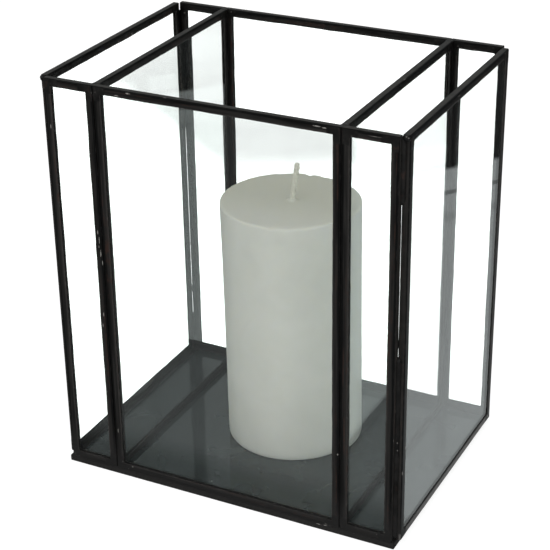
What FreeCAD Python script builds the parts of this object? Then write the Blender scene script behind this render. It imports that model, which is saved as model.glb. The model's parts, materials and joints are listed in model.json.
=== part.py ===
import FreeCAD, Part
import math
import os

import Sketcher

# Hurricane candle lantern, in mm: X is the width, Y the depth (front at -Y), Z up, floor at Z = 0

SIZES = (
    ("lantern_width", "210", "between the outside faces of the two side walls"),
    ("lantern_depth", "149", "between the outside faces of the front and back rows"),
    ("lantern_height", "238", "floor to rim"),
    ("base_inset", "2.15", "side walls overhang the floor frame, each side"),
    ("side_bay", "30.4", "end of a row to the seam of the nearest inner post"),
    ("glass_thickness", "3", "wall and partition panes"),
    ("base_glass_thickness", "3", "dark floor pane"),
    ("sheet_thickness", "0.45", "metal of the folded channel"),
    ("channel_leg", "4.25", "outside length of a channel leg"),
    ("bend_radius", "0.6", "outside radius of the channel's two bends, square inside"),
    ("pane_clearance", "0.05", "glass face to channel leg, each side"),
    ("edge_clearance", "0.4", "glass edge to channel web"),
    ("mitre_gap", "0.1", "between two strips at a mitred corner"),
    ("wall_end_gap", "0.3", "end of a side wall to the row in front of or behind it"),
    ("post_gap", "0.5", "seam between two panes of a row, holds solder"),
    ("partition_gap", "0.2", "partition strip to the front and back rows"),
    ("corner_bead", "2.2", "leg of the solder bead in a corner groove"),
    ("front_upper_bead", "36", "front corner bead, down from near the rim"),
    ("front_lower_bead", "112", "front corner bead, up from near the floor frame"),
    ("back_upper_bead", "78", "back corner bead, down from near the rim"),
    ("back_lower_bead", "26", "back corner bead, up from near the floor frame"),
    ("post_bead_recess", "0.8", "post solder below the faces of the strips beside it"),
    ("bead_end_inset", "0.5", "solder short of the rim and of the floor frame"),
    ("candle_diameter", "79", "pillar candle"),
    ("candle_height", "149.3", "pillar candle without its wick"),
    ("candle_setback", "12", "candle axis behind the middle of the lantern"),
    ("candle_offset", "1", "candle axis to the right of the middle of the lantern"),
    ("candle_shoulder", "1", "rounding of the candle's top edge"),
    ("candle_foot_chamfer", "1.2", "bevel of the candle's bottom edge"),
    ("wax_collar_radius", "4", "foot of the wax drawn up around the wick"),
    ("wax_collar_rise", "1.2", "height of the wax drawn up around the wick"),
    ("wax_collar_lip", "0.3", "wax left around the wick at the collar's top"),
    ("wick_diameter", "3", "braided wick"),
    ("wick_exposed", "23.5", "wick above the wax, along its length"),
    ("wick_clearance", "0.05", "wick to its bore in the wax"),
    ("wick_foot_inset", "2", "end of the wick above the candle's foot"),
    ("wick_bend_start", "1.5", "straight part of the wick above the wax"),
    ("wick_bend_radius", "30", "curve of the leaning wick"),
    ("wick_lean", "10.5", "lean of the wick's tip, in degrees"),
    ("wick_tip_round", "0.9", "rounding of the wick's tip"),
)

doc = FreeCAD.newDocument("lantern")
sheet = doc.addObject("Spreadsheet::Sheet", "Sizes")
for row, (alias, number, note) in enumerate(SIZES, start=1):
    sheet.set(f"A{row}", note)
    sheet.set(f"B{row}", number)
    sheet.setAlias(f"B{row}", alias)
doc.recompute()


def cell(alias):
    return f"Sizes.{alias}"


def value(expression):
    return float(sheet.evalExpression(expression))


# Sizes that follow from the sheet, as expressions

WIDTH = cell("lantern_width")
DEPTH = cell("lantern_depth")
HEIGHT = cell("lantern_height")
LEG = cell("channel_leg")
METAL = cell("sheet_thickness")
GLASS = cell("glass_thickness")
COVER = f"({METAL} + {cell('pane_clearance')})"
WALL = f"({GLASS} + 2 * {COVER})"
FLOOR = f"({cell('base_glass_thickness')} + 2 * {COVER})"
FLOOR_GLASS_TOP = f"({FLOOR} - {COVER})"
HALF_POST_GAP = f"({cell('post_gap')} / 2)"
GLASS_INSET = f"({METAL} + {cell('edge_clearance')})"
WALL_HEIGHT = f"({HEIGHT} - {FLOOR})"
WALL_MIDDLE = f"(({HEIGHT} + {FLOOR}) / 2)"
FRONT_Y = f"(-({DEPTH} - {WALL}) / 2)"
BACK_Y = f"(({DEPTH} - {WALL}) / 2)"

# Objects to write, one file each

nodes = []


# Helpers for bodies and bound sketches

def new_body(label, keep=True):
    body = doc.addObject("PartDesign::Body", label)
    body.Label = label
    if keep:
        nodes.append(body)
    return body


def new_sketch(body, plane, name):
    sketch = body.newObject("Sketcher::SketchObject", name)
    support = [f for f in body.Origin.OriginFeatures if f.Role == plane][0]
    sketch.AttachmentSupport = [(support, "")]
    sketch.MapMode = "FlatFace"
    return sketch


def place(body, x, y, z, rotation):
    body.Placement = FreeCAD.Placement(FreeCAD.Vector(value(x), value(y), value(z)), rotation)
    body.setExpression("Placement.Base.x", x)
    body.setExpression("Placement.Base.y", y)
    body.setExpression("Placement.Base.z", z)


def relate(sketch, *terms):
    return sketch.addConstraint(Sketcher.Constraint(*terms))


def bind(sketch, name, kind, refs, expression):
    index = relate(sketch, kind, *refs, value(expression))
    sketch.renameConstraint(index, name)
    sketch.setExpression(f"Constraints.{name}", expression)


def arc_about(centre, start, end):
    """Arc around centre that runs anticlockwise from start to end."""
    first = start - centre
    last = end - centre
    from_angle = math.atan2(first.y, first.x)
    to_angle = math.atan2(last.y, last.x)
    if to_angle < from_angle:
        to_angle += 2 * math.pi
    circle = Part.Circle(centre, FreeCAD.Vector(0, 0, 1), first.Length)
    return Part.ArcOfCircle(circle, from_angle, to_angle)


def square_outline(sketch, corners):
    """Closed outline of level and upright lines through corners (x, y, radius or None)."""
    count = len(corners)
    points = [FreeCAD.Vector(value(x), value(y), 0) for x, y, _ in corners]
    radii = [value(r) if r else 0.0 for _, _, r in corners]
    heading = [(points[(i + 1) % count] - points[i]).normalize() for i in range(count)]
    lines = []
    for i in range(count):
        start = points[i] + heading[i] * radii[i]
        end = points[(i + 1) % count] - heading[i] * radii[(i + 1) % count]
        lines.append(sketch.addGeometry(Part.LineSegment(start, end), False))
    for i in range(count):
        before = lines[i - 1]
        if not radii[i]:
            relate(sketch, "Coincident", before, 2, lines[i], 1)
            continue
        start = points[i] - heading[i - 1] * radii[i]
        end = points[i] + heading[i] * radii[i]
        centre = start + heading[i] * radii[i]
        left_turn = heading[i - 1].cross(heading[i]).z > 0
        ends = (start, end) if left_turn else (end, start)
        arc = sketch.addGeometry(arc_about(centre, *ends), False)
        relate(sketch, "Tangent", before, 2, arc, 1 if left_turn else 2)
        relate(sketch, "Tangent", lines[i], 1, arc, 2 if left_turn else 1)
        bind(sketch, f"round_{i}", "Radius", (arc,), corners[i][2])
    for i, line in enumerate(lines):
        upright = abs(heading[i].x) < 1e-9
        at = corners[i][0] if upright else corners[i][1]
        relate(sketch, "Vertical" if upright else "Horizontal", line)
        if at == "0":
            relate(sketch, "PointOnObject", line, 1, -2 if upright else -1)
            continue
        distance = "DistanceX" if upright else "DistanceY"
        bind(sketch, f"side_{i}", distance, (-1, 1, line, 1), at)


def rectangle(sketch, size_x, size_y):
    """Rectangle around the origin."""
    x = f"({size_x}) / 2"
    y = f"({size_y}) / 2"
    outline = ((f"-{x}", f"-{y}"), (x, f"-{y}"), (x, y), (f"-{x}", y))
    square_outline(sketch, [(a, b, None) for a, b in outline])


def pad(body, sketch, length, name):
    feature = body.newObject("PartDesign::Pad", name)
    feature.Profile = sketch
    feature.SideType = "Symmetric"
    feature.setExpression("Length", length)
    feature.Length = value(length)
    return feature


# One framed pane: the glass and its four folded strips, mitred where they meet

FRONT = FreeCAD.Rotation(FreeCAD.Vector(1, 0, 0), FreeCAD.Vector(0, 0, 1), FreeCAD.Vector(0, -1, 0))
SIDE = FreeCAD.Rotation(FreeCAD.Vector(0, 1, 0), FreeCAD.Vector(0, 0, 1), FreeCAD.Vector(1, 0, 0))
LEVEL = FreeCAD.Rotation()

# Side of the pane, turn about its normal, step from its middle along its width and its height
STRIPS = (
    ("bottom", 0, 0, -1),
    ("right", 90, 1, 0),
    ("top", 180, 0, 1),
    ("left", -90, -1, 0),
)


def glass_pane(label, width, height, thickness):
    body = new_body(label)
    sketch = new_sketch(body, "XY_Plane", "pane_outline")
    rectangle(sketch, f"{width} - 2 * {GLASS_INSET}", f"{height} - 2 * {GLASS_INSET}")
    pad(body, sketch, thickness, "pane")
    return body


def channel_strip(label, length, channel_width):
    """Folded strip along X: the web's outside lies at Y = 0 and the legs point along +Y."""
    body = new_body(label)
    section = new_sketch(body, "YZ_Plane", "folded_section")
    outside = f"{channel_width} / 2"
    inside = f"({channel_width} / 2 - {METAL})"
    bend = cell("bend_radius")
    square_outline(
        section,
        (
            ("0", f"-{outside}", bend),
            (LEG, f"-{outside}", None),
            (LEG, f"-{inside}", None),
            (METAL, f"-{inside}", None),
            (METAL, inside, None),
            (LEG, inside, None),
            (LEG, outside, None),
            ("0", outside, bend),
        ),
    )
    pad(body, section, length, "folded_strip")
    mitre_ends(body, length)
    return body


def mitre_ends(body, length):
    """Cuts both ends at 45 degrees, so that four strips close around a pane."""
    sketch = new_sketch(body, "XY_Plane", "mitre_outline")
    tip = f"({length}) / 2 - {cell('mitre_gap')} * sqrt(0.5)"
    over = "1"
    tall = f"({LEG} + {over})"
    for side, word, sign in ((-1, "left", "-"), (1, "right", "")):
        tip_x = value(tip)
        beyond = value(over)
        rise = value(tall)
        corners = (
            FreeCAD.Vector(side * (tip_x + beyond), -beyond, 0),
            FreeCAD.Vector(side * (tip_x + beyond), rise, 0),
            FreeCAD.Vector(side * (tip_x - rise), rise, 0),
        )
        edges = []
        for i in range(3):
            segment = Part.LineSegment(corners[i], corners[(i + 1) % 3])
            edges.append(sketch.addGeometry(segment, False))
        for i in range(3):
            relate(sketch, "Coincident", edges[i], 2, edges[(i + 1) % 3], 1)
        relate(sketch, "Vertical", edges[0])
        relate(sketch, "Horizontal", edges[1])
        bind(sketch, f"{word}_end", "DistanceX", (-1, 1, edges[0], 1), f"{sign}({tip} + {over})")
        bind(sketch, f"{word}_start", "DistanceY", (edges[0], 1, -1, 1), over)
        bind(sketch, f"{word}_height", "DistanceY", (-1, 1, edges[1], 1), tall)
        bind(sketch, f"{word}_run", "DistanceX", (-1, 1, edges[2], 1), f"{sign}({tip} - {tall})")
    cut = body.newObject("PartDesign::Pocket", "mitres")
    cut.Profile = sketch
    cut.SideType = "Symmetric"
    cut.Type = "ThroughAll"


def framed_pane(name, turn, middle, width, height, thickness, words=None):
    """Glass and four strips around a middle point, with turn taking pane axes to lantern axes."""
    words = words or {}
    channel_width = f"({thickness} + 2 * {COVER})"
    pane = glass_pane(f"{name}_glass", width, height, thickness)
    place(pane, *middle, turn)
    across = turn.multVec(FreeCAD.Vector(1, 0, 0))
    upward = turn.multVec(FreeCAD.Vector(0, 1, 0))
    for word, angle, step_x, step_y in STRIPS:
        length, reach = (height, width) if step_x else (width, height)
        strip = channel_strip(f"{name}_{words.get(word, word)}_channel", length, channel_width)
        way = across * step_x + upward * step_y
        spot = []
        for along, part in zip(middle, (way.x, way.y, way.z)):
            spot.append(f"{along} + ({round(part)}) * {reach} / 2")
        spin = FreeCAD.Rotation(FreeCAD.Vector(0, 0, 1), angle)
        place(strip, *spot, turn.multiply(spin))


# Front and back rows of three panes, as long as the room between the side walls

wall_inside = f"({WIDTH} / 2 - {WALL})"
left_end = f"(-{wall_inside})"
right_end = wall_inside
left_seam = f"({left_end} + {cell('side_bay')})"
right_seam = f"({right_end} - {cell('side_bay')})"

ROW = (
    ("left", left_end, f"({left_seam} - {HALF_POST_GAP})"),
    ("centre", f"({left_seam} + {HALF_POST_GAP})", f"({right_seam} - {HALF_POST_GAP})"),
    ("right", f"({right_seam} + {HALF_POST_GAP})", right_end),
)
for row_name, row_y in (("front", FRONT_Y), ("back", BACK_Y)):
    for part_name, start, end in ROW:
        row_middle = (f"(({start} + {end}) / 2)", row_y, WALL_MIDDLE)
        framed_pane(f"{row_name}_{part_name}", FRONT, row_middle, f"({end} - {start})", WALL_HEIGHT, GLASS)

# Side walls between the rows, corner to corner, and partitions behind the inner posts

SIDE_WORDS = {"left": "front", "right": "back"}
wall_length = f"({DEPTH} - 2 * {WALL} - 2 * {cell('wall_end_gap')})"
partition_length = f"({DEPTH} - 2 * {WALL} - 2 * {cell('partition_gap')})"
partition_height = f"({HEIGHT} - {FLOOR_GLASS_TOP})"
partition_middle = f"(({HEIGHT} + {FLOOR_GLASS_TOP}) / 2)"
wall_x = f"(({WIDTH} - {WALL}) / 2)"

for side_name, side_x, seam in (("left", f"(-{wall_x})", left_seam), ("right", wall_x, right_seam)):
    framed_pane(
        f"{side_name}_wall", SIDE, (side_x, "0", WALL_MIDDLE),
        wall_length, WALL_HEIGHT, GLASS, SIDE_WORDS,
    )
    framed_pane(
        f"{side_name}_partition", SIDE, (seam, "0", partition_middle),
        partition_length, partition_height, GLASS, SIDE_WORDS,
    )

# Floor: the dark pane that all the walls stand on

base_width = f"({WIDTH} - 2 * {cell('base_inset')})"
framed_pane(
    "base", LEVEL, ("0", "0", f"({FLOOR} / 2)"), base_width, DEPTH,
    cell("base_glass_thickness"), {"bottom": "front", "top": "back"},
)


# Solder: quarter round beads in the corner grooves, flat runs in the post seams

def corner_bead(name, x, y, z, length, quarter_turn):
    body = new_body(name, keep=False)
    sketch = new_sketch(body, "XY_Plane", "bead_section")
    leg = value(cell("corner_bead"))
    root = FreeCAD.Vector()
    level = FreeCAD.Vector(leg, 0, 0)
    upright = FreeCAD.Vector(0, leg, 0)
    foot = sketch.addGeometry(Part.LineSegment(root, level), False)
    face = sketch.addGeometry(arc_about(root, level, upright), False)
    back = sketch.addGeometry(Part.LineSegment(upright, root), False)
    relate(sketch, "Coincident", foot, 1, -1, 1)
    relate(sketch, "Coincident", face, 3, -1, 1)
    relate(sketch, "Coincident", foot, 2, face, 1)
    relate(sketch, "Coincident", face, 2, back, 1)
    relate(sketch, "Coincident", back, 2, foot, 1)
    relate(sketch, "Horizontal", foot)
    relate(sketch, "Vertical", back)
    bind(sketch, "bead_leg", "Radius", (face,), cell("corner_bead"))
    pad(body, sketch, length, "bead")
    place(body, x, y, z, FreeCAD.Rotation(FreeCAD.Vector(0, 0, 1), quarter_turn))
    return body


def post_bead(name, x, y):
    body = new_body(name, keep=False)
    sketch = new_sketch(body, "XY_Plane", "run_section")
    rectangle(sketch, cell("post_gap"), f"({WALL} - 2 * {cell('post_bead_recess')})")
    pad(body, sketch, f"({WALL_HEIGHT} - 2 * {cell('bead_end_inset')})", "run")
    place(body, x, y, WALL_MIDDLE, LEVEL)
    return body


def group(label, members):
    compound = doc.addObject("Part::Compound", label)
    compound.Label = label
    compound.Links = members
    nodes.append(compound)


wall_end = f"({wall_length} / 2)"
inset = cell("bead_end_inset")
CORNERS = (
    ("front", "left", left_end, f"(-{wall_end})", 180),
    ("front", "right", right_end, f"(-{wall_end})", 270),
    ("back", "left", left_end, wall_end, 90),
    ("back", "right", right_end, wall_end, 0),
)
corner_beads = []
for row_name, side_name, x, y, turn in CORNERS:
    corner = f"{row_name}_{side_name}"
    upper = cell(f"{row_name}_upper_bead")
    lower = cell(f"{row_name}_lower_bead")
    high = f"({HEIGHT} - {inset} - {upper} / 2)"
    low = f"({FLOOR} + {inset} + {lower} / 2)"
    corner_beads.append(corner_bead(f"upper_bead_{corner}", x, y, high, upper, turn))
    corner_beads.append(corner_bead(f"lower_bead_{corner}", x, y, low, lower, turn))
group("corner_solder_beads", corner_beads)

post_beads = []
for row_name, row_y in (("front", FRONT_Y), ("back", BACK_Y)):
    post_beads.append(post_bead(f"post_bead_{row_name}_left", left_seam, row_y))
    post_beads.append(post_bead(f"post_bead_{row_name}_right", right_seam, row_y))
group("post_solder_beads", post_beads)


# Candle: turned wax with a bore, and the wick that runs down through it

def candle_wax():
    body = new_body("candle_wax")
    sketch = new_sketch(body, "XZ_Plane", "half_section")
    radius = f"{cell('candle_diameter')} / 2"
    bore = f"({cell('wick_diameter')} / 2 + {cell('wick_clearance')})"
    square_outline(
        sketch,
        (
            (bore, "0", None),
            (radius, "0", None),
            (radius, cell("candle_height"), cell("candle_shoulder")),
            (bore, cell("candle_height"), None),
        ),
    )
    turned = body.newObject("PartDesign::Revolution", "turned_wax")
    turned.Profile = sketch
    turned.ReferenceAxis = (sketch, ["V_Axis"])
    turned.Angle = 360
    doc.recompute()
    edges = turned.Shape.Edges
    level = [i for i in range(len(edges)) if edges[i].BoundBox.ZMax < value(cell("candle_foot_chamfer"))]
    rim = max(level, key=lambda i: edges[i].Length)
    bevel = body.newObject("PartDesign::Chamfer", "foot_bevel")
    bevel.Base = (turned, [f"Edge{rim + 1}"])
    bevel.setExpression("Size", cell("candle_foot_chamfer"))
    collar = body.newObject("PartDesign::AdditiveCone", "wax_collar")
    collar.setExpression("Radius1", cell("wax_collar_radius"))
    collar.setExpression("Radius2", f"{bore} + {cell('wax_collar_lip')}")
    collar.setExpression("Height", cell("wax_collar_rise"))
    collar.setExpression("Placement.Base.z", cell("candle_height"))
    drilled = body.newObject("PartDesign::SubtractiveCylinder", "wick_bore")
    drilled.setExpression("Radius", bore)
    drilled.setExpression("Height", f"{cell('candle_height')} + 2 * {cell('wax_collar_rise')}")
    return body


def wick_path(body):
    """Straight through the wax, then a curve and a straight leaning tip."""
    path = new_sketch(body, "XZ_Plane", "wick_path")
    straight = f"({cell('candle_height')} - {cell('wick_foot_inset')} + {cell('wick_bend_start')})"
    bend = cell("wick_bend_radius")
    free = f"({cell('wick_exposed')} - {cell('wick_bend_start')} - {bend} * {cell('wick_lean')} * pi / 180)"
    lean = math.radians(value(cell("wick_lean")))
    knee = FreeCAD.Vector(0, value(straight), 0)
    centre = knee + FreeCAD.Vector(value(bend), 0, 0)
    end = centre + FreeCAD.Vector(-math.cos(lean), math.sin(lean), 0) * value(bend)
    tip = end + FreeCAD.Vector(math.sin(lean), math.cos(lean), 0) * value(free)
    trunk = path.addGeometry(Part.LineSegment(FreeCAD.Vector(), knee), False)
    curve = path.addGeometry(arc_about(centre, end, knee), False)
    last = path.addGeometry(Part.LineSegment(end, tip), False)
    relate(path, "Coincident", trunk, 1, -1, 1)
    relate(path, "Vertical", trunk)
    relate(path, "Tangent", trunk, 2, curve, 2)
    relate(path, "Tangent", last, 1, curve, 1)
    bind(path, "trunk_length", "DistanceY", (trunk, 1, trunk, 2), straight)
    bind(path, "bend", "Radius", (curve,), bend)
    bind(path, "tip_length", "Distance", (last,), free)
    bind(path, "tip_reach", "DistanceX", (last, 1, last, 2), f"{free} * sin({cell('wick_lean')} * 1 deg)")
    return path


def candle_wick():
    body = new_body("candle_wick")
    section = new_sketch(body, "XY_Plane", "wick_section")
    radius = f"{cell('wick_diameter')} / 2"
    circle = Part.Circle(FreeCAD.Vector(), FreeCAD.Vector(0, 0, 1), value(radius))
    edge = section.addGeometry(circle, False)
    relate(section, "Coincident", edge, 3, -1, 1)
    bind(section, "wick_radius", "Radius", (edge,), radius)
    sweep = body.newObject("PartDesign::AdditivePipe", "wick_sweep")
    sweep.Profile = section
    sweep.Spine = wick_path(body)
    doc.recompute()
    edges = sweep.Shape.Edges
    top = max(range(len(edges)), key=lambda i: edges[i].CenterOfMass.z)
    rounded = body.newObject("PartDesign::Fillet", "wick_tip")
    rounded.Base = (sweep, [f"Edge{top + 1}"])
    rounded.setExpression("Radius", cell("wick_tip_round"))
    return body


candle_x = cell("candle_offset")
candle_y = cell("candle_setback")
place(candle_wax(), candle_x, candle_y, FLOOR_GLASS_TOP, LEVEL)
place(candle_wick(), candle_x, candle_y, f"{FLOOR_GLASS_TOP} + {cell('wick_foot_inset')}", LEVEL)

doc.recompute()

# Every feature must have solved before anything is written

for item in doc.Objects:
    if "Invalid" in item.State or "Error" in item.State:
        raise RuntimeError(f"{item.Label} did not solve: {item.State}")

os.makedirs("parts", exist_ok=True)
for node in nodes:
    if node.Shape.isNull() or not node.Shape.isValid():
        raise RuntimeError(f"{node.Label} has no valid shape")
    node.Shape.exportStep(f"parts/{node.Label}.step")
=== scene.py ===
import json
import math

import bmesh
import bpy
from mathutils import Matrix, Vector, noise


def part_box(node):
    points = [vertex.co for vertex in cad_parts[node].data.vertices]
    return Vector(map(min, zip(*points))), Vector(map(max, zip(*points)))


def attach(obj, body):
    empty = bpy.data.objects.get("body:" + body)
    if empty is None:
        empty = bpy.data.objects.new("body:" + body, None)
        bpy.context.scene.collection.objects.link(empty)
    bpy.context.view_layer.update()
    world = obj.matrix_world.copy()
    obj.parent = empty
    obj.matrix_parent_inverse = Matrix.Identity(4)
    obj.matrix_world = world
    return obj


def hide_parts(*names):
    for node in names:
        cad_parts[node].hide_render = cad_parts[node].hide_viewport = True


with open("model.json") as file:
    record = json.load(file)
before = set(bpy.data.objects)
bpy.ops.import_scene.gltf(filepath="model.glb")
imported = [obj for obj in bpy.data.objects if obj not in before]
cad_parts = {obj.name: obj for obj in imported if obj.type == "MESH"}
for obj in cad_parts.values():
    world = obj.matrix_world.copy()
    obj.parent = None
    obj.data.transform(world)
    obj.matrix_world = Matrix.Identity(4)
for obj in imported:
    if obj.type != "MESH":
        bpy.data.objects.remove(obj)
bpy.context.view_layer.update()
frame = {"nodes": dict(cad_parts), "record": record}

MM = 0.001
X, Y, Z = range(3)
nodes = frame["nodes"]


# Node graph helpers: most add nodes to a tree and return the socket with the result

def add(tree, kind, inputs=None, **settings):
    """New shader node; an input that is a socket gets linked, any other gets set."""
    made = tree.nodes.new(kind)
    for key, given in settings.items():
        setattr(made, key, given)
    for key, given in (inputs or {}).items():
        if isinstance(given, bpy.types.NodeSocket):
            tree.links.new(given, made.inputs[key])
        else:
            made.inputs[key].default_value = given
    return made


def rgba(colour):
    return (*colour, 1.0)


def noise_at(tree, coords, scale, detail=3.0, rough=0.55, distortion=0.0):
    made = add(tree, "ShaderNodeTexNoise", {
        "Vector": coords, "Scale": scale, "Detail": detail, "Roughness": rough, "Distortion": distortion,
    })
    return made.outputs["Fac"]


def cells_at(tree, coords, scale, share, inner, outer):
    """Round specks, in a share of the cells, that fade out from inner to outer of a cell's size."""
    cells = add(tree, "ShaderNodeTexVoronoi", {"Vector": coords, "Scale": scale, "Randomness": 1.0})
    lot = add(tree, "ShaderNodeSeparateColor", {0: cells.outputs["Color"]}).outputs[0]
    chosen = between(tree, lot, 1.0 - share, 1.005 - share)
    return times(tree, between(tree, cells.outputs["Distance"], outer, inner), chosen)


def stretch(tree, coords, scale):
    return add(tree, "ShaderNodeMapping", {"Vector": coords, "Scale": scale}).outputs["Vector"]


def split(tree, vector):
    return add(tree, "ShaderNodeSeparateXYZ", {0: vector}).outputs


def dot(tree, vector, way):
    """How far a point lies along a way."""
    return add(tree, "ShaderNodeVectorMath", {0: vector, 1: way}, operation="DOT_PRODUCT").outputs["Value"]


def mark(tree, name):
    """What the mesh stores at its points under that name."""
    return add(tree, "ShaderNodeAttribute", attribute_name=name).outputs


def between(tree, source, low, high, to_low=0.0, to_high=1.0):
    """Soft step from to_low, where the source is low, to to_high, where it is high."""
    made = add(tree, "ShaderNodeMapRange", {
        "Value": source, "From Min": low, "From Max": high, "To Min": to_low, "To Max": to_high,
    }, interpolation_type="SMOOTHSTEP")
    return made.outputs["Result"]


def calc(tree, operation, a, b=0.0, c=0.0):
    return add(tree, "ShaderNodeMath", {0: a, 1: b, 2: c}, operation=operation).outputs[0]


def times(tree, a, b):
    return calc(tree, "MULTIPLY", a, b)


def apart(tree, a, b):
    """Distance between two numbers."""
    return calc(tree, "ABSOLUTE", calc(tree, "SUBTRACT", a, b))


def mix(tree, factor, a, b):
    """Colour a where the factor is 0, and b where it is 1."""
    made = add(tree, "ShaderNodeMix", {"Factor": factor}, data_type="RGBA")
    for socket, given in ((made.inputs[6], a), (made.inputs[7], b)):
        if isinstance(given, bpy.types.NodeSocket):
            tree.links.new(given, socket)
        else:
            socket.default_value = rgba(given)
    return made.outputs[2]


def bump(tree, height, strength, distance, below=None):
    inputs = {"Height": height, "Strength": strength, "Distance": distance}
    if below is not None:
        inputs["Normal"] = below
    return add(tree, "ShaderNodeBump", inputs).outputs["Normal"]


def new_material(name):
    """Material with an empty tree, and that tree."""
    made = bpy.data.materials.new(name)
    made.use_nodes = True
    made.node_tree.nodes.clear()
    return made, made.node_tree


def finish_material(tree, shader):
    add(tree, "ShaderNodeOutputMaterial", {"Surface": shader.outputs[0]})


def principled(tree, inputs):
    return add(tree, "ShaderNodeBsdfPrincipled", inputs)


# Materials; object coordinates are in metres

BEND_PAINTED_SHADE = (0.0006, 0.0006, 0.0006)
STRIP_BLACK = (0.0018, 0.0017, 0.0016)
STRIP_STREAK = (0.0120, 0.0112, 0.0104)
STRIP_LOW_PAINTED_LIGHT = (0.0153, 0.0149, 0.0148)
STRIP_LEG = (0.017, 0.0155, 0.0145)
STRIP_LIP_HIGHLIGHT = (0.026, 0.0245, 0.023)
STRIP_RIGHT_SIDE_LIGHT = (0.080, 0.077, 0.074)
STRIP_RUBBED = (0.09, 0.084, 0.078)
STRIP_FLECK = (0.16, 0.152, 0.145)
SOLDER_BLACK = (0.0022, 0.0021, 0.0020)
SOLDER_GREY = (0.0080, 0.0075, 0.0070)
SOLDER_LOW_PAINTED_LIGHT = (0.0142, 0.0139, 0.0138)
SOLDER_PAINTED_SHEEN = (0.07, 0.066, 0.062)
SOLDER_BARE = (0.40, 0.385, 0.36)
DUST_AND_TOP_LIGHT = (0.056, 0.053, 0.049)
RUST = (0.026, 0.012, 0.0085)
LEVEL = (0.75, 0.97)    # upward share of the normal, where dust and painted top light start and where they are full
LOWEST_PAINTED_LIGHT = (0.008, 0.035)    # heights between which the painted light that greys the lowest metal fades out

PANE_CLEAN = (0.960, 0.984, 0.974)
PANE_SMEARED = (0.954, 0.977, 0.967)
PANE_SHADOW = (0.93, 0.95, 0.945)
BASE_CLEAN = (0.021, 0.026, 0.026)
BASE_SMEARED = (0.029, 0.035, 0.035)
BASE_SPECK = (0.34, 0.35, 0.35)
GLASS_IOR = 1.5

WAX_DIM = (0.545, 0.541, 0.497)
WAX_PALE = (0.582, 0.576, 0.534)
WAX_MOTTLED = (0.62, 0.615, 0.575)
WAX_TOP_YELLOW_SHADED = (0.535, 0.524, 0.443)
WAX_FRONT_LIGHT = (0.65, 0.642, 0.588)
WAX_DARK_SPECK = (0.24, 0.24, 0.19)

COTTON_DIM = (0.50, 0.485, 0.42)
COTTON_PALE = (0.64, 0.625, 0.55)
COTTON_SOAKED = (0.52, 0.50, 0.44)


def strip_metal():
    """Blackened strip: streaked along its length, with painted shade on the bends, a painted highlight along
    the edges of its legs, and rubbed at the edges.

    Dust and painted light lie on top, the lowest metal is greyer with painted light, and the floor frame's
    right side is the palest, with painted light.
    """
    made, tree = new_material("black_channel")
    coords = add(tree, "ShaderNodeTexCoord").outputs
    x, _, z = split(tree, coords["Object"])
    lane = mark(tree, "lane")["Vector"]
    across = split(tree, lane)[1]
    streak = noise_at(tree, stretch(tree, lane, (0.03, 0.75, 7.3)), 1.0, 5, 0.6)
    slow = noise_at(tree, stretch(tree, lane, (0.011, 0.4, 3.1)), 1.0, 3)
    blotch = noise_at(tree, coords["Object"], 260, 5, 0.6, 0.5)
    grain = noise_at(tree, coords["Object"], 1500, 3)
    tone = mix(tree, between(tree, streak, 0.38, 0.66), STRIP_BLACK, STRIP_STREAK)
    outer = between(tree, across, 1.2, 4.2)
    tone = mix(tree, times(tree, outer, between(tree, slow, 0.35, 0.6, 0.25, 0.8)), tone, STRIP_LEG)
    # painted highlight: an even lighter line along the edge of every leg
    tone = mix(tree, between(tree, across, 3.1, 4.0, 0.0, 0.6), tone, STRIP_LIP_HIGHLIGHT)
    rust = times(tree, between(tree, slow, 0.53, 0.68), between(tree, blotch, 0.40, 0.62, 0.0, 0.8))
    tone = mix(tree, rust, tone, RUST)
    up = between(tree, split(tree, coords["Normal"])[Z], *LEVEL, 0.2, 0.76)
    back = times(tree, between(tree, across, -0.25, -0.8), between(tree, blotch, 0.25, 0.7, 0.5, 1.0))
    # dust, and painted light: the upward faces of the backs are paler, where light falls on them
    tone = mix(tree, times(tree, back, up), tone, DUST_AND_TOP_LIGHT)
    # painted shade: a black line along each bend, weaker on the lowest metal
    bend_shade = times(tree, between(tree, across, -0.75, -0.25), between(tree, across, 1.4, 0.8))
    bend_shade = times(tree, bend_shade, between(tree, z, 0.006, 0.020, 0.25, 1.0))
    tone = mix(tree, bend_shade, tone, BEND_PAINTED_SHADE)
    # painted light: the lowest metal is greyer and paler, as light reaches it there
    tone = mix(tree, between(tree, z, *LOWEST_PAINTED_LIGHT, 0.55, 0.0), tone, STRIP_LOW_PAINTED_LIGHT)
    # painted light: the floor frame's right outer face is paler, where light falls on it
    side = times(tree, between(tree, x, 0.1035, 0.1042), between(tree, z, 0.0086, 0.0074))
    tone = mix(tree, times(tree, side, between(tree, blotch, 0.3, 0.65, 0.5, 0.9)), tone, STRIP_RIGHT_SIDE_LIGHT)
    patchy = between(tree, noise_at(tree, coords["Object"], 330, 5, 0.65), 0.5, 0.72)
    rubbed = times(tree, mark(tree, "wear_and_sheen")["Fac"], patchy)
    tone = mix(tree, times(tree, rubbed, 0.35), tone, STRIP_RUBBED)
    fleck = cells_at(tree, stretch(tree, lane, (0.14, 0.62, 1.0)), 1.0, 0.02, 0.12, 0.22)
    tone = mix(tree, fleck, tone, STRIP_FLECK)
    uneven = calc(tree, "ADD", times(tree, streak, 0.5), times(tree, grain, 0.5))
    surface = bump(tree, blotch, 0.18, 0.0005)
    surface = bump(tree, grain, 0.12, 0.0002, surface)
    finish_material(tree, principled(tree, {
        "Base Color": tone, "Roughness": between(tree, uneven, 0.3, 0.7, 0.36, 0.58),
        "Normal": surface, "Specular IOR Level": 0.12,
    }))
    return made


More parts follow.
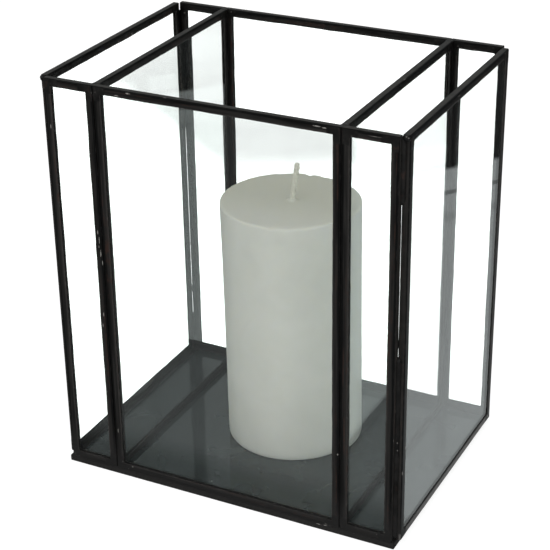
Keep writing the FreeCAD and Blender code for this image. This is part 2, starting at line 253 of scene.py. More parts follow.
def solder_metal():
    """Blackened solder, lumpy, with a painted sheen on the tops and crests of its lumps, and a few spots
    where the bare alloy shows.
    """
    made, tree = new_material("black_solder")
    coords = add(tree, "ShaderNodeTexCoord").outputs
    broad = noise_at(tree, coords["Object"], 80, 4)
    blotch = noise_at(tree, coords["Object"], 300, 5, 0.6, 0.6)
    fine = noise_at(tree, coords["Object"], 900, 4, 0.6)
    tone = mix(tree, between(tree, broad, 0.35, 0.7), SOLDER_BLACK, SOLDER_GREY)
    tone = mix(tree, times(tree, between(tree, blotch, 0.56, 0.72), 0.5), tone, RUST)
    up = between(tree, split(tree, coords["Normal"])[Z], *LEVEL)
    # dust, and painted light: the upward faces of the solder are paler, where light falls on them
    tone = mix(tree, times(tree, up, between(tree, blotch, 0.25, 0.7, 0.15, 0.5)), tone, DUST_AND_TOP_LIGHT)
    # painted sheen: paler on the tops and crests of the lumps, where the wear_and_sheen mark is high
    painted_sheen = times(tree, mark(tree, "wear_and_sheen")["Fac"], between(tree, fine, 0.52, 0.68))
    tone = mix(tree, times(tree, painted_sheen, 0.3), tone, SOLDER_PAINTED_SHEEN)
    height = split(tree, coords["Object"])[Z]
    # painted light: the lowest solder is greyer and paler, as light reaches it there
    tone = mix(tree, between(tree, height, *LOWEST_PAINTED_LIGHT, 0.65, 0.0), tone, SOLDER_LOW_PAINTED_LIGHT)
    bare = times(tree, mark(tree, "bare")["Fac"], between(tree, fine, 0.32, 0.55))
    tone = mix(tree, bare, tone, SOLDER_BARE)
    surface = bump(tree, blotch, 0.35, 0.0005)
    surface = bump(tree, fine, 0.15, 0.0002, surface)
    finish_material(tree, principled(tree, {
        "Base Color": tone, "Roughness": between(tree, blotch, 0.3, 0.7, 0.32, 0.52),
        "Normal": surface, "Specular IOR Level": 0.14, "Metallic": times(tree, bare, 0.8),
    }))
    return made


def clear_glass():
    """Clear panes with a faint smear and a few specks; they let light through to what they shade."""
    made, tree = new_material("clear_glass")
    coords = add(tree, "ShaderNodeTexCoord").outputs["Object"]
    smear = noise_at(tree, stretch(tree, coords, (1, 1, 0.35)), 45, 5, 0.6, 1.2)
    specks = times(tree, cells_at(tree, coords, 130.0, 0.14, 0.02, 0.045), 0.25)
    tint = mix(tree, between(tree, smear, 0.35, 0.7), PANE_CLEAN, PANE_SMEARED)
    glass = principled(tree, {
        "Base Color": tint, "Roughness": 0.0, "IOR": GLASS_IOR,
        "Transmission Weight": calc(tree, "SUBTRACT", 1.0, specks),
    })
    path = add(tree, "ShaderNodeLightPath")
    through = add(tree, "ShaderNodeBsdfTransparent", {"Color": rgba(PANE_SHADOW)})
    finish_material(tree, add(tree, "ShaderNodeMixShader", {
        0: path.outputs["Is Shadow Ray"], 1: glass.outputs[0], 2: through.outputs[0],
    }))
    return made


def dark_glass():
    """Near-black floor glass, a little smeared and dusty."""
    made, tree = new_material("dark_glass")
    coords = add(tree, "ShaderNodeTexCoord").outputs["Object"]
    smear = noise_at(tree, coords, 30, 5, 0.6, 1.0)
    tone = mix(tree, between(tree, smear, 0.4, 0.75), BASE_CLEAN, BASE_SMEARED)
    specks = times(tree, cells_at(tree, coords, 75.0, 0.22, 0.03, 0.06), 0.6)
    finish_material(tree, principled(tree, {
        "Base Color": mix(tree, specks, tone, BASE_SPECK),
        "Roughness": between(tree, smear, 0.35, 0.8, 0.05, 0.075), "IOR": GLASS_IOR,
    }))
    return made


def wax():
    """Cast wax: pale sides, a yellower top darkened a little as painted shade and paler towards the front as
    painted light, and a few small dark specks.
    """
    made, tree = new_material("candle_wax")
    coords = add(tree, "ShaderNodeTexCoord").outputs
    cloud = noise_at(tree, coords["Object"], 38, 5, 0.6, 0.8)
    mottle = noise_at(tree, coords["Object"], 240, 4, 0.6)
    dark_speck = cells_at(tree, coords["Object"], 110.0, 0.05, 0.03, 0.07)
    tone = mix(tree, between(tree, cloud, 0.3, 0.7), WAX_DIM, WAX_PALE)
    tone = mix(tree, times(tree, between(tree, mottle, 0.45, 0.75), 0.2), tone, WAX_MOTTLED)
    up = between(tree, split(tree, coords["Normal"])[Z], 0.5, 0.95)
    # the top's own yellower tone, made a little darker as painted shade
    tone = mix(tree, times(tree, up, between(tree, cloud, 0.3, 0.7, 0.7, 1.0)), tone, WAX_TOP_YELLOW_SHADED)
    # painted light: the top is paler towards the front, where the light falls
    front_light = between(tree, split(tree, coords["Object"])[Y], 0.016, -0.028, 0.0, 0.85)
    tone = mix(tree, times(tree, up, front_light), tone, WAX_FRONT_LIGHT)
    # a few small dark specks
    tone = mix(tree, times(tree, dark_speck, 0.6), tone, WAX_DARK_SPECK)
    surface = bump(tree, cloud, 0.10, 0.0010)
    surface = bump(tree, mottle, 0.10, 0.0004, surface)
    finish_material(tree, principled(tree, {
        "Base Color": tone, "Roughness": between(tree, mottle, 0.3, 0.7, 0.52, 0.68),
        "Normal": surface, "Specular IOR Level": 0.3,
        "Subsurface Weight": 0.25, "Subsurface Scale": 0.006, "Subsurface Radius": (1.0, 0.8, 0.5),
    }))
    return made


def cotton():
    """Wick: pale fibres, soaked with wax in places."""
    made, tree = new_material("wick_cotton")
    coords = add(tree, "ShaderNodeTexCoord").outputs["Object"]
    fibre = noise_at(tree, stretch(tree, coords, (1, 1, 0.2)), 2600, 4)
    soak = noise_at(tree, coords, 260, 3)
    tone = mix(tree, between(tree, fibre, 0.3, 0.7), COTTON_DIM, COTTON_PALE)
    tone = mix(tree, times(tree, between(tree, soak, 0.45, 0.7), 0.5), tone, COTTON_SOAKED)
    finish_material(tree, principled(tree, {
        "Base Color": tone, "Roughness": 0.75, "Normal": bump(tree, fibre, 0.35, 0.0002),
        "Specular IOR Level": 0.3,
    }))
    return made


MATERIALS = {
    "black_channel": strip_metal(),
    "black_solder": solder_metal(),
    "clear_glass": clear_glass(),
    "dark_glass": dark_glass(),
    "candle_wax": wax(),
    "wick_cotton": cotton(),
}
for part in frame["record"]["subparts"]:
    mesh = nodes[part["node"]].data
    mesh.materials.clear()
    mesh.materials.append(MATERIALS[part["material_slot"]])


# Building pieces; lengths from here on are in mm, and points become metres as they are stored

def wobble(point, size, seed):
    """Smooth noise from -1 to 1 at a point in metres, with features of about that size in mm."""
    shifted = Vector(point) / (size * MM) + Vector((seed * 17.3, seed * 5.9, seed * 11.7))
    return noise.noise(shifted)


def within(given):
    return max(0.0, min(1.0, given))


def on_circle(i, count):
    """Angle of one of the points round a ring."""
    return 2 * math.pi * i / count


class Heap:
    """Points, faces and marks per point of a piece that is being built."""

    def __init__(self, *marks):
        self.points = []
        self.faces = []
        self.marks = {name: [] for name in marks}

    def point(self, spot, *given):
        self.points.append(tuple(spot))
        for name, number in zip(self.marks, given):
            self.marks[name].append(number)
        return len(self.points) - 1

    def tube(self, first, count, rows):
        """Joins rows of count points each, one after the other, and closes both ends."""
        for k in range(rows - 1):
            row = first + k * count
            for i in range(count):
                j = (i + 1) % count
                self.faces.append((row + i, row + j, row + count + j, row + count + i))
        last = first + (rows - 1) * count
        self.faces.append(tuple(range(first, first + count)))
        self.faces.append(tuple(range(last, last + count)))


def piece(name, heap, slot, body, replaced=(), crease=50, closed=True):
    """Object made of a heap: smooth up to the crease angle, and on its body and slot."""
    mesh = bpy.data.meshes.new(name)
    mesh.from_pydata(heap.points, [], heap.faces)
    if closed:
        work = bmesh.new()
        work.from_mesh(mesh)
        bmesh.ops.recalc_face_normals(work, faces=work.faces)
        work.to_mesh(mesh)
        work.free()
    mesh.update()
    mesh.polygons.foreach_set("use_smooth", [True] * len(mesh.polygons))
    mesh.set_sharp_from_angle(angle=math.radians(crease))
    for mark_name, given in heap.marks.items():
        if isinstance(given[0], tuple):
            layer = mesh.attributes.new(mark_name, "FLOAT_VECTOR", "POINT")
            layer.data.foreach_set("vector", [n for triple in given for n in triple])
        else:
            layer = mesh.attributes.new(mark_name, "FLOAT", "POINT")
            layer.data.foreach_set("value", given)
    mesh.materials.append(MATERIALS[slot])
    made = bpy.data.objects.new(name, mesh)
    bpy.context.scene.collection.objects.link(made)
    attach(made, body)
    if replaced:
        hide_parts(*replaced)
    return made


# Edging: folded strips that were pressed on by hand, so their edges wander a little

SHEET = 0.45
BEND = 0.6
EDGE_ROUND = 0.14
EDGE_WEAR = 0.6
STATION = 2.6
MITRE_GAP = 0.05


class Strip:
    """Where one folded strip lies: along its length, inward over the glass and through the pane."""

    def __init__(self, node, normal_axis, middle):
        low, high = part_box(node)
        size = high - low
        others = [i for i in range(3) if i != normal_axis]
        self.along = max(others, key=lambda i: size[i])
        self.inward = [i for i in others if i != self.along][0]
        self.normal = normal_axis
        self.sign = 1 if middle[self.inward] > (low + high)[self.inward] / 2 else -1
        self.outer = low[self.inward] if self.sign > 0 else high[self.inward]
        self.start = low[self.along]
        self.length = size[self.along] / MM
        self.centre = (low + high)[normal_axis] / 2
        self.half = size[normal_axis] / 2 / MM
        self.leg = size[self.inward] / MM

    def at(self, along, inward, through):
        spot = [0.0, 0.0, 0.0]
        spot[self.along] = self.start + along * MM
        spot[self.inward] = self.outer + self.sign * inward * MM
        spot[self.normal] = self.centre + through * MM
        return Vector(spot)


def section(leg_near, leg_far, half):
    """Closed outline of the folded strip as (inward, through, wear_and_sheen)."""
    outline = []
    for side, leg in ((1, leg_near), (-1, leg_far)):
        arm = [
            (leg, half - SHEET, 0.5), (leg, half - EDGE_ROUND, 1.0),
            (leg - EDGE_ROUND, half, 0.8), (leg - EDGE_WEAR, half, 0.1),
        ]
        arm += [(BEND + (leg - EDGE_WEAR - BEND) * step / 3, half, 0.0) for step in (2, 1)]
        for step in range(5):
            angle = math.radians(22.5 * step)
            turn = (BEND - BEND * math.sin(angle), half - BEND + BEND * math.cos(angle))
            arm.append((*turn, 0.35 * math.sin(2 * angle)))
        arm = [(a, side * b, c) for a, b, c in arm]
        outline += arm if side > 0 else arm[::-1]
        if side > 0:
            outline.append((0.0, 0.0, 0.1))
    outline.append((SHEET, SHEET - half, 0.0))
    outline.append((SHEET, half - SHEET, 0.0))
    return outline


def fold(strip, seed, heap):
    """One strip with mitred ends; its lane mark runs along it, across it and differs by face."""
    stations = max(10, round(strip.length / STATION))
    first = len(heap.points)
    for k in range(stations + 1):
        t = k / stations
        here = strip.at(t * strip.length, 0, 0)
        legs = []
        for side in (0, 1):
            slow = wobble(here, 21, seed + side * 3.1)
            quick = wobble(here, 5, seed + side * 3.1 + 40)
            legs.append(strip.leg + 0.22 * slow + 0.14 * quick)
        outline = section(legs[0], legs[1], strip.half)
        for inward, through, wear_and_sheen in outline:
            end = min(inward, strip.leg) + MITRE_GAP
            along = end + t * (strip.length - 2 * end)
            broad = wobble(strip.at(along, inward, through), 14, seed + 7)
            dent = 0.05 * broad + 0.02 * wobble(here, 5, seed + 9)
            lift = dent if abs(through) > strip.half - 0.2 else 0.0
            press = dent if inward < 0.05 else 0.0
            across = inward - (strip.half - abs(through))
            spot = strip.at(along, inward + 0.5 * press, through + math.copysign(lift, through))
            heap.point(spot, (along, across, seed + (0.5 if through > 0 else 0.0)), within(wear_and_sheen))
    heap.tube(first, len(outline), stations + 1)


panes = {}
for number, pane in enumerate(sorted(n.removesuffix("_glass") for n in nodes if n.endswith("_glass"))):
    low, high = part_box(f"{pane}_glass")
    size = high - low
    thin = min(range(3), key=lambda i: size[i])
    owned = sorted(n for n in nodes if n.startswith(f"{pane}_") and n.endswith("_channel"))
    panes[pane] = [Strip(n, thin, (low + high) / 2) for n in owned]
    heap = Heap("lane", "wear_and_sheen")
    for index, strip in enumerate(panes[pane]):
        fold(strip, number * 4 + index + 1, heap)
    piece(f"{pane}_edging", heap, "black_channel", "lantern", owned)


# Solder pools where two strips of a pane meet: thin over the metal, rounded into the glass corner

POOL_STEP = 0.42
POOL_FADE = 0.9
GLASS_DEPTH = 0.5    # from the strip's face down to the glass


def corner_point(level, upright, a, b, face, height):
    """Point over a pane's corner, a along the level strip and b along the upright one.

    Both are counted from the corner of the glass that shows, and the height from the strip's face.
    """
    spot = [0.0, 0.0, 0.0]
    spot[upright.inward] = upright.outer + upright.sign * (upright.leg + a) * MM
    spot[level.inward] = level.outer + level.sign * (level.leg + b) * MM
    spot[level.normal] = level.centre + face * (level.half + height) * MM
    return Vector(spot)


def pool(level, upright, face, seed, heap):
    """Sheet of solder over one corner, on one face; its rim dips into the metal."""
    reach = 2.4 + 2.4 * noise.random()
    other = 2.4 + 2.0 * noise.random()
    radius = 0.45 + 0.75 * noise.random()
    edge = 0.25 - level.leg
    cells = int((max(reach, other) + 1.0 - edge) / POOL_STEP)
    grid = {}
    for i in range(cells + 1):
        for j in range(cells + 1):
            a, b = edge + i * POOL_STEP, edge + j * POOL_STEP
            spot = corner_point(level, upright, a, b, face, 0.0)
            ripple = 0.5 * wobble(spot, 2.2, seed) + 0.5 * wobble(spot, 5, seed + 2)
            if a <= 0.0 or b <= 0.0:
                far = within(max((a - reach) / POOL_FADE, (b - other) / POOL_FADE))
                brink = within((edge + POOL_FADE - min(a, b)) / POOL_FADE)
                height = 0.20 * (1.0 - far - 0.55 * brink) - 0.08 + 0.07 * ripple
            elif a < radius and b < radius:
                rise = (math.hypot(radius - a, radius - b) - radius) / (radius * 0.41)
                if rise < -0.35:
                    continue
                height = -GLASS_DEPTH + 0.62 * rise + 0.06 * ripple
            else:
                continue
            spot = corner_point(level, upright, a, b, face, height)
            bare = 0.6 * within(4 * (wobble(spot, 1.7, seed + 5) - 0.6))
            grid[i, j] = heap.point(spot, within(0.25 + 0.9 * ripple), bare)
    turned = face * level.sign * upright.sign * (1 if level.normal == X else -1) < 0
    for i, j in grid:
        corners = [grid.get(key) for key in ((i, j), (i + 1, j), (i + 1, j + 1), (i, j + 1))]
        if None not in corners:
            heap.faces.append(tuple(corners[::-1] if turned else corners))


noise.seed_set(11)
for number, (pane, strips) in enumerate(panes.items()):
    if pane == "base":
        continue
    heap = Heap("wear_and_sheen", "bare")
    pairs = [(a, b) for a in strips if a.along != Z for b in strips if b.along == Z]
    for index, (level, upright) in enumerate(pairs):
        for face in (-1, 1):
            pool(level, upright, face, 10 * number + 2 * index + (face + 1) / 2, heap)
    piece(f"{pane}_corner_solder", heap, "black_solder", "lantern", crease=80, closed=False)


# Corner grooves: a long bead above and below, and between them a thread that leaves a fine slit

BEAD_RADIUS = 2.1
BEAD_END = 2.5
THREAD_RADIUS = 0.40
THREAD_INSET = 0.25

# Side along Y; depth of the upper bead's top and foot under the rim; height of the lower bead's top
GROOVES = ((-1, 0.5, 36.5, 112.5), (1, 4.5, 78.5, 26.5))


def bead(root, sign_x, sign_y, low, high, seed, heap):
    """Lumpy quarter round that fills a groove from low to high."""
    rings = max(12, round((high - low) / 1.4))
    around = 9
    first = len(heap.points)
    for k in range(rings + 1):
        z = low + (high - low) * k / rings
        here = (root[0] * MM, root[1] * MM, z * MM)
        ends = min(1.0, (z - low) / BEAD_END + 0.15, (high - z) / BEAD_END + 0.15)
        lump = 0.22 * wobble(here, 7, seed) + 0.12 * wobble(here, 3, seed + 5)
        radius = (BEAD_RADIUS + lump) * math.sqrt(ends)
        for i in range(around):
            angle = math.pi / 2 * i / (around - 1)
            x = root[0] + sign_x * radius * math.cos(angle)
            y = root[1] + sign_y * radius * math.sin(angle)
            spot = Vector((x, y, z)) * MM
            bare = 0.5 * within(5 * (wobble(spot, 2.0, seed + 3) - 0.65))
            heap.point(spot, within(0.2 + 1.6 * lump), bare)
        heap.point(here, 0.0, 0.0)
    heap.tube(first, around + 1, rings + 1)


def thread(x, y, low, high, seed, heap):
    """Thin upright line of solder, swollen here and there."""
    rings = round((high - low) / 1.1)
    around = 8
    first = len(heap.points)
    for k in range(rings + 1):
        z = low + (high - low) * k / rings
        here = (x * MM, y * MM, z * MM)
        swell = 0.5 * within(3 * (wobble(here, 8, seed + 4) - 0.45))
        radius = THREAD_RADIUS + 0.10 * wobble(here, 9, seed) + swell
        for i in range(around):
            turn = on_circle(i, around)
            spot = Vector((x + radius * math.cos(turn), y + radius * math.sin(turn), z)) * MM
            heap.point(spot, 0.3, 0.5 * within(5 * (wobble(spot, 2.0, seed + 3) - 0.6)))
    heap.tube(first, around, rings + 1)


front_low, front_high = (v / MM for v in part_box("front_left_left_channel"))
row_end = -front_low.x
row_back = -front_high.y
wall_end = (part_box("left_wall_top_channel")[1] / MM).y
rim = front_high.z
floor_top = front_low.z

heap = Heap("wear_and_sheen", "bare")
for sign_x in (-1, 1):
    for sign_y, top, upper, lower in GROOVES:
        root = (sign_x * row_end, sign_y * wall_end)
        slit = (sign_x * (row_end - THREAD_INSET), sign_y * row_back)
        seed = 3 * sign_x + sign_y
        bead(root, sign_x, sign_y, rim - upper, rim - top, seed + 60, heap)
        bead(root, sign_x, sign_y, floor_top + 0.5, floor_top + lower, seed + 70, heap)
        thread(*slit, floor_top + lower - 1, rim - upper + 1, seed + 80, heap)
piece("corner_beads", heap, "black_solder", "lantern", ["corner_solder_beads"], 60)


# Solder that ties the frames together at the rim, at the floor's corners and along the front seam

# Half lengths of the lumps along X, Y and Z
JOINT_LUMP, JOINT_TAIL = (2.3, 1.9, 0.42), (1.7, 1.4, 0.36)
RIM_FRONT, RIM_BACK = (2.1, 1.7, 1.75), (1.5, 0.9, 1.2)
FOOT_LUMP, FOOT_TAIL = (1.75, 1.6, 2.0), (2.2, 1.3, 0.9)
JOINT_DROP = 0.22
SEAM_HALF = 98.5
SEAM_RADIUS = 0.62
SEAM_INSET = 0.55


def blob(centre, radii, seed, heap, bare=0.0, uneven=0.18):
    """Uneven egg."""
    rings, around = 9, 16
    first = len(heap.points)
    for k in range(rings + 1):
        tilt = math.pi * (0.02 + 0.96 * k / rings)
        for i in range(around):
            turn = on_circle(i, around)
            way = Vector((math.cos(turn) * math.sin(tilt), math.sin(turn) * math.sin(tilt), math.cos(tilt)))
            swell = 1 + uneven * noise.noise(way * 1.7 + Vector((seed * 3.7, seed, 0)))
            spot = Vector(centre) + Vector([way[n] * radii[n] * swell for n in range(3)])
            # the mark rises towards the top of each lump, for the painted sheen there
            heap.point(spot * MM, within(0.3 + 0.5 * way.z), bare)
    heap.tube(first, around, rings + 1)


def front_seam(heap):
    """Line of solder between the front row and the floor frame."""
    rings, around = 150, 8
    first = len(heap.points)
    for k in range(rings + 1):
        here = Vector((-SEAM_HALF + 2 * SEAM_HALF * k / rings, front_low.y + SEAM_INSET, floor_top))
        radius = SEAM_RADIUS + 0.10 * wobble(here * MM, 11, 61) + 0.06 * wobble(here * MM, 3.5, 62)
        for i in range(around):
            turn = on_circle(i, around)
            spot = here + Vector((0, -math.cos(turn), math.sin(turn))) * radius
            heap.point(spot * MM, 0.6, 0.0)
    heap.tube(first, around, rings + 1)


heap = Heap("wear_and_sheen", "bare")
seed = 1
for side in ("left", "right"):
    low, high = (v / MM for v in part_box(f"{side}_partition_top_channel"))
    x = (low.x + high.x) / 2
    for y, way in ((low.y, -1), (high.y, 1)):
        blob((x, y - way * 0.2, rim - JOINT_DROP), JOINT_LUMP, seed, heap)
        blob((x + 0.2, y + way * 2.4, rim - JOINT_DROP), JOINT_TAIL, seed + 0.5, heap)
        seed += 1
for sign_x in (-1, 1):
    blob((sign_x * 103.1, -wall_end - 0.4, rim - 1.7), RIM_FRONT, seed, heap)
    blob((sign_x * 102.9, wall_end - 0.2, rim - 1.6), RIM_BACK, seed + 0.5, heap)
    seed += 1
low, high = (v / MM for v in (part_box("base_left_channel")[0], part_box("base_right_channel")[1]))
for x, way in ((low.x, 1), (high.x, -1)):
    for y, turn in ((low.y, 1), (high.y, -1)):
        blob((x + way * 1.5, y + turn * 1.4, 2.2), FOOT_LUMP, seed, heap)
        blob((x + way * 3.2, y + turn * 1.3, 3.4), FOOT_TAIL, seed + 0.5, heap)
        seed += 1
front_seam(heap)
piece("frame_solder", heap, "black_solder", "lantern", crease=80)


# Flecks of bare solder, where the photograph shows them

# Middle and half lengths along X and Z of each one on the front faces
FLECKS = (
    (-49.1, 237.0, 1.2, 0.35), (57.5, 236.6, 2.2, 0.30), (61.5, 236.3, 1.3, 0.28), (65.0, 235.9, 0.25, 0.9),
    (-72.5, 149.5, 0.25, 2.2), (-72.1, 141.8, 0.35, 1.9), (-71.4, 136.2, 0.25, 1.4), (-73.0, 145.6, 0.2, 0.9),
    (94.5, 6.7, 0.8, 0.6), (96.4, 5.6, 0.6, 0.35), (93.0, 7.3, 0.35, 0.3), (69.5, 51.6, 0.45, 0.5),
    (80.5, 233.9, 3.6, 0.14), (88.5, 233.8, 2.4, 0.12), (94.3, 233.8, 1.8, 0.12), (89.0, 236.2, 4.0, 0.08),
    (58.5, 3.3, 1.6, 0.22), (62.2, 3.7, 1.0, 0.2), (-68.5, 29.5, 0.2, 1.8), (-60.3, 7.2, 0.5, 0.25),
)
FLECK_THICK = 0.10
# Middle of each one on the beads of the front right corner
CORNER_FLECKS = ((103.4, -72.0, 237.6), (104.3, -71.6, 236.9), (102.6, -72.2, 66.4), (102.7, -72.2, 62.0))
CORNER_FLECK = (0.32, 0.25, 0.4)

heap = Heap("wear_and_sheen", "bare")
for number, (x, z, half_x, half_z) in enumerate(FLECKS):
    blob((x, front_low.y + 0.02, z), (half_x, FLECK_THICK, half_z), number + 30, heap, 0.75, 0.6)
for number, middle in enumerate(CORNER_FLECKS):
    blob(middle, CORNER_FLECK, number + 50, heap, 0.4, 0.6)
piece("solder_flecks", heap, "black_solder", "lantern", crease=80)


# Candle: cast wax that leans a little, with a worn rim and a shallow dish around a wick just off its middle

WAX_RADIUS = 39.45
WAX_TOP = 149.3
FOOT_TAPER = 0.42
FOOT_ROUND = 1.2
SHOULDER = 1.3
DISH = 0.45
AROUND = 216
SIDEWAYS = Vector((0.892, 0.453, 0.0))    # the photograph's right, along the floor
# The axis along that way: at the foot, what it loses up to the rim, and what the middle of the top regains
LEAN_FOOT, LEAN_LOSS, LEAN_MIDDLE = 0.8, 1.58, 1.83
TOP_FROM = 100    # wax above this height and inside the rim belongs to the top

# Worn places of the rim: angle in degrees, half width in degrees, depth
CHIPS = (
    (98, 3, 0.9), (84, 5, 0.5), (120, 7, 0.35), (57, 4, 0.5),
    (-66, 7, 0.45), (-80, 4, 0.6), (-52, 5, 0.35), (20, 6, 0.5),
)


def wax_profile():
    """Points from the foot to the collar at the wick, as (radius, height)."""
    foot = WAX_RADIUS - FOOT_TAPER
    outline = [(20.0, 0.0), (foot - 1.3, 0.0), (foot - 0.4, 0.3), (foot, FOOT_ROUND)]
    straight = WAX_TOP - SHOULDER - FOOT_ROUND
    for k in range(1, 41):
        t = k / 40
        outline.append((foot + (WAX_RADIUS - foot) * within(2 * t - 1) ** 1.5, FOOT_ROUND + straight * t))
    for k in range(1, 8):
        angle = math.radians(90 * k / 7)
        radius = WAX_RADIUS - SHOULDER * (1 - math.cos(angle))
        outline.append((radius, WAX_TOP - SHOULDER + SHOULDER * math.sin(angle)))
    flat = WAX_RADIUS - SHOULDER
    for k in range(1, 15):
        reach = flat - (flat - 5.0) * k / 14
        outline.append((reach, WAX_TOP - DISH * math.sin(math.pi * min(1.0, (flat - reach) / flat))))
    collar = ((3.6, -0.25), (2.7, 0.15), (2.1, 0.7), (1.75, 1.1))
    return outline + [(radius, WAX_TOP + height) for radius, height in collar]


def wax_point(radius, height, turn):
    """Point of the worn and leaning wax, from the foot of the candle's axis."""
    out = Vector((math.cos(turn), math.sin(turn), 0))
    spot = out * radius + Vector((0, 0, height))
    worn = within(1 - (WAX_TOP - height) / 2.2) if radius > 36 else 0.0
    chip = 0.16 * noise.noise(spot / 5) + 0.10 * noise.noise(spot / 1.8)
    for angle, half, depth in CHIPS:
        off = (math.degrees(turn) - angle + 180) % 360 - 180
        chip -= depth * math.exp(-(off / half) ** 2)
    side = 0.10 * noise.noise(spot / 26) + 0.04 * noise.noise(spot / 7) - 0.10
    fade = within(height / 6)
    if radius > 30:
        spot += out * min(0.0, side * fade + 0.7 * worn * chip)
    spot.z += worn * min(0.1, chip)
    if 3 < radius < 38 and height > TOP_FROM:
        spot.z += 0.12 * noise.noise(spot / 9)
    lean = LEAN_FOOT - LEAN_LOSS * height / WAX_TOP
    if height > TOP_FROM:
        lean += LEAN_MIDDLE * max(0.0, 1 - radius / WAX_RADIUS)
    return spot + SIDEWAYS * lean


wax_low, wax_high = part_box("candle_wax")
axis = Vector(((wax_low.x + wax_high.x) / 2, (wax_low.y + wax_high.y) / 2, wax_low.z))
heap = Heap()
profile = wax_profile()
for radius, height in profile:
    for i in range(AROUND):
        heap.point(axis + wax_point(radius, height, on_circle(i, AROUND)) * MM)
heap.tube(0, AROUND, len(profile))
piece("pillar_candle", heap, "candle_wax", "candle", ["candle_wax"], 70)


# Wick: three strands laid round each other, along the same bend as the solid one

WICK_SHIFT = 1.05
WICK_BEND = 12.0
WICK_LEAN = math.radians(8.8)
WICK_LONG = 23.2
WICK_SUNK = 2.0
TIP = 1.4
LAY = 9.5
STRANDS = 3
STRAND_OFFSET = 0.66
STRAND_RADIUS = 1.0
STRAND_STEPS, STRAND_SIDES = 90, 10


def wick_line(length):
    """Point and heading on the wick, by the length above the wax, from the foot of the candle's axis."""
    root = SIDEWAYS * WICK_SHIFT
    if length <= 0.0:
        return root + Vector((0, 0, WAX_TOP + length)), Vector((0, 0, 1))
    angle = min(WICK_LEAN, length / WICK_BEND)
    spot = root + Vector((WICK_BEND * (1 - math.cos(angle)), 0, WAX_TOP + WICK_BEND * math.sin(angle)))
    heading = Vector((math.sin(angle), 0, math.cos(angle)))
    return spot + heading * max(0.0, length - WICK_BEND * WICK_LEAN), heading


def strand(number, heap):
    """One strand, rounded off and drawn in at the tip."""
    first = len(heap.points)
    for k in range(STRAND_STEPS + 1):
        length = -WICK_SUNK + (WICK_LONG + WICK_SUNK) * k / STRAND_STEPS
        spot, heading = wick_line(length)
        across = heading.cross(Vector((0, 1, 0))).normalized()
        deep = across.cross(heading)
        phase = 2 * math.pi * (number / STRANDS + length / LAY)
        top = max(0.0, (length - WICK_LONG + TIP) / TIP)
        offset = STRAND_OFFSET * (1 - 0.35 * top)
        middle = spot + across * (offset * math.cos(phase)) + deep * (0.9 * offset * math.sin(phase))
        for i in range(STRAND_SIDES):
            turn = on_circle(i, STRAND_SIDES)
            rough = 1 + 0.06 * noise.noise(Vector((i, length * 1.3, number * 7)))
            thick = STRAND_RADIUS * math.sqrt(max(0.03, 1 - top * top)) * rough
            ring = middle + across * (thick * math.cos(turn)) + deep * (thick * math.sin(turn))
            heap.point(axis + ring * MM)
    heap.tube(first, STRAND_SIDES, STRAND_STEPS + 1)


heap = Heap()
for number in range(STRANDS):
    strand(number, heap)
piece("braided_wick", heap, "wick_cotton", "candle", ["candle_wick"], 80)


# Stage, in metres: a pale floor that stays white around the object and keeps its soft shadow

WHITE = (1, 1, 1)
FLOOR_GREY = (0.36, 0.36, 0.36)
FLOOR_MIRRORED = (0.94, 1.0, 1.0)
ROOM_MIRRORED = (0.93, 1.0, 1.01)
FLOOR_HALF = 9.0
FLOOR_DROP = 0.0002
PANE_LIFT = 0.235    # makes up, at each face of a pane that is looked through, for what it takes
TWO_PANES = 3.0    # more faces than this are looked through behind two panes
TABLE_WAY = (0.8, 0.6, 0.0)
DEEP = (-0.453, 0.892, 0.0)    # the photograph's depth, along the floor


def backdrop(tree, white, mirrored, lit, tint, shade=0.0):
    """White where it is looked at, also behind panes, and shaded behind two of them.

    It is duller and tinted in mirrors, and plain where it lights.
    """
    path = add(tree, "ShaderNodeLightPath").outputs
    level = calc(tree, "MULTIPLY_ADD", path["Transmission Depth"], PANE_LIFT, white)
    shade = times(tree, calc(tree, "GREATER_THAN", path["Transmission Depth"], TWO_PANES), shade)
    level = times(tree, level, calc(tree, "SUBTRACT", 1.0, shade))
    in_mirror = calc(tree, "MINIMUM", path["Glossy Depth"], 1.0)
    lighting = calc(tree, "MINIMUM", path["Diffuse Depth"], 1.0)
    for factor, given in ((in_mirror, mirrored), (lighting, lit)):
        level = add(tree, "ShaderNodeMix", {0: factor, 2: level, 3: given}).outputs[0]
    return in_mirror, {"Color": mix(tree, in_mirror, WHITE, tint), "Strength": level}


def painted_reflection_level(tree, spot):
    """Painted reflection for the panes: the table's far edge, its joint and the dark room behind, and a
    painted shadow on the floor just in front of the lantern.
    """
    away = dot(tree, spot, TABLE_WAY)
    level = between(tree, away, -0.50, 0.20, 0.21, 0.64)
    for edge in (
        # painted shadow: the floor just in front of the lantern is darker in the reflections
        between(tree, apart(tree, split(tree, spot)[Y], -0.080), 0.012, 0.045, 0.25, 1.0),
        between(tree, away, 0.469, 0.479, 1.0, 0.03),
        between(tree, apart(tree, away, 0.433), 0.0022, 0.0045, 0.45, 1.0),
        between(tree, apart(tree, away, 0.393), 0.002, 0.011, 0.82, 1.0),
    ):
        level = times(tree, level, edge)
    return level


def painted_shade_patch(tree, spot):
    """Painted shade: the pale grey background, as a patch on the floor that shows only through two panes."""
    deep, across = dot(tree, spot, DEEP), dot(tree, spot, SIDEWAYS)
    grey = times(tree, between(tree, deep, 0.36, 0.47), between(tree, across, 0.078, 0.060))
    slant = calc(tree, "MULTIPLY_ADD", deep, 0.5, across)
    for edge in (
        between(tree, deep, 0.50, 0.72, 1.0, 0.72),
        between(tree, slant, 0.152, 0.180),
        between(tree, noise_at(tree, spot, 9, 4), 0.3, 0.7, 0.52, 0.60),
    ):
        grey = times(tree, grey, edge)
    return grey


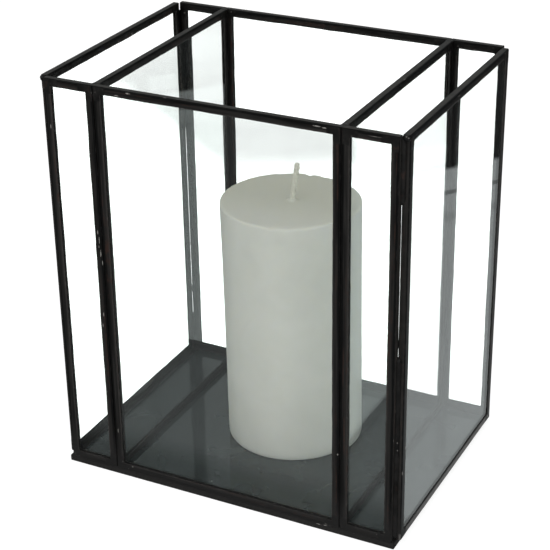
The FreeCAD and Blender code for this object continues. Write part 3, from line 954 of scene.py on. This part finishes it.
def stage_floor():
    made, tree = new_material("pale_floor")
    spot = add(tree, "ShaderNodeTexCoord").outputs["Object"]
    table, grey = painted_reflection_level(tree, spot), painted_shade_patch(tree, spot)
    in_mirror, glow = backdrop(tree, 0.80, table, 1.0, FLOOR_MIRRORED, grey)
    matt = add(tree, "ShaderNodeBsdfDiffuse", {"Color": mix(tree, in_mirror, FLOOR_GREY, (0, 0, 0))})
    light = add(tree, "ShaderNodeEmission", glow)
    finish_material(tree, add(tree, "ShaderNodeAddShader", {0: matt.outputs[0], 1: light.outputs[0]}))
    made.cycles.emission_sampling = "NONE"
    corners = [(x * FLOOR_HALF, y * FLOOR_HALF, 0) for x, y in ((-1, -1), (1, -1), (1, 1), (-1, 1))]
    mesh = bpy.data.meshes.new("floor")
    mesh.from_pydata(corners, [], [(0, 1, 2, 3)])
    mesh.materials.append(made)
    floor = bpy.data.objects.new("floor", mesh)
    floor.location.z = -FLOOR_DROP
    bpy.context.scene.collection.objects.link(floor)


def studio_room():
    world = bpy.data.worlds.new("studio")
    bpy.context.scene.world = world
    world.use_nodes = True
    tree = world.node_tree
    tree.nodes.clear()
    sky = add(tree, "ShaderNodeBackground", backdrop(tree, 1.0, 0.37, 0.62, ROOM_MIRRORED)[1])
    add(tree, "ShaderNodeOutputWorld", {"Surface": sky.outputs[0]})


# Name, place, size and power of the lamps, which all point at one spot
LAMPS = (
    ("front", (0.72, -1.42, 0.95), 2.2, 10.0),
    ("left", (-1.4, -1.1, 0.9), 1.4, 9.2),
    ("right", (1.7, -0.5, 0.9), 1.4, 8.7),
)
LAMP_AIM = (0, 0, 0.1)


def lamp(name, place, size, power):
    """Soft round lamp."""
    light = bpy.data.lights.new(name, "AREA")
    light.shape = "DISK"
    light.size = size
    light.energy = power
    made = bpy.data.objects.new(name, light)
    made.location = place
    made.rotation_euler = (Vector(LAMP_AIM) - Vector(place)).to_track_quat("-Z", "Y").to_euler()
    bpy.context.scene.collection.objects.link(made)


stage_floor()
studio_room()
for given in LAMPS:
    lamp(*given)


# Camera: the photograph's viewpoint, as fitted to it

AZIMUTH, ELEVATION, ROLL = (math.radians(d) for d in (26.918, 26.580, -0.852))
VIEWPOINT = (0.369378, -0.735533, 0.521869)
FOCAL_LENGTH = 105.606
SENSOR_WIDTH = 36.0

back = Vector((
    math.sin(AZIMUTH) * math.cos(ELEVATION), -math.cos(AZIMUTH) * math.cos(ELEVATION), math.sin(ELEVATION),
))
right = (-back).cross(Vector((0, 0, 1))).normalized()
up = right.cross(-back)
image_right = right * math.cos(ROLL) + up * math.sin(ROLL)
image_up = up * math.cos(ROLL) - right * math.sin(ROLL)
lens = bpy.data.cameras.new("camera")
lens.lens = FOCAL_LENGTH
lens.sensor_width = SENSOR_WIDTH
lens.clip_start = 0.01
camera = bpy.data.objects.new("camera", lens)
rows = zip(image_right, image_up, back, VIEWPOINT)
camera.matrix_world = Matrix((*rows, (0, 0, 0, 1)))
bpy.context.scene.collection.objects.link(camera)
bpy.context.scene.camera = camera
bpy.context.scene.view_settings.view_transform = "Standard"
